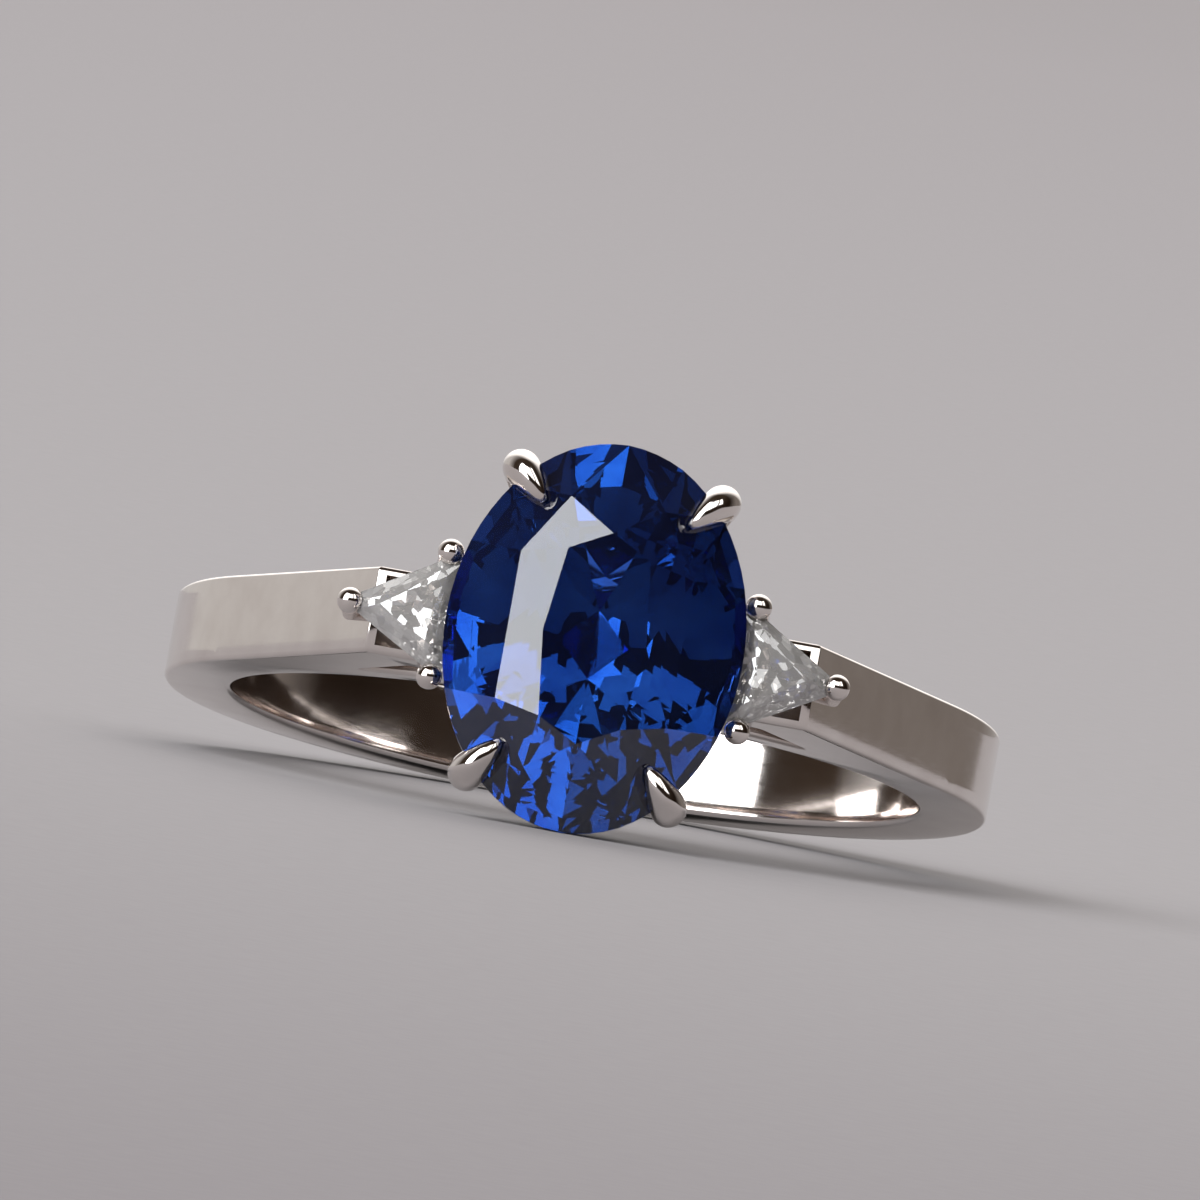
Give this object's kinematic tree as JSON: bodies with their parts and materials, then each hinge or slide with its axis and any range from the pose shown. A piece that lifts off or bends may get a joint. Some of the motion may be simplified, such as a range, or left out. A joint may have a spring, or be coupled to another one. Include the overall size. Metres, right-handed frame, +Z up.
{
  "type": "three stone ring",
  "caption": "Finger ring: oval blue stone in pointed claws between triangular clear stones, on a flat polished band, lying on its side.",
  "frame": {"origin": "middle of the underside of the ring's box, on the surface that the ring lies on", "axes": "+X across the three stones, +Y from the stones towards the back of the band, +Z up from the surface"},
  "size_m": [0.0196, 0.0242, 0.0091],
  "materials": {
    "white_gold": "polished",
    "sapphire": "polished facets",
    "diamond": "polished facets"
  },
  "bodies": {
    "root": {"ring_mount": "white_gold", "centre_stone": "sapphire", "left_stone": "diamond", "right_stone": "diamond"}
  },
  "joints": []
}
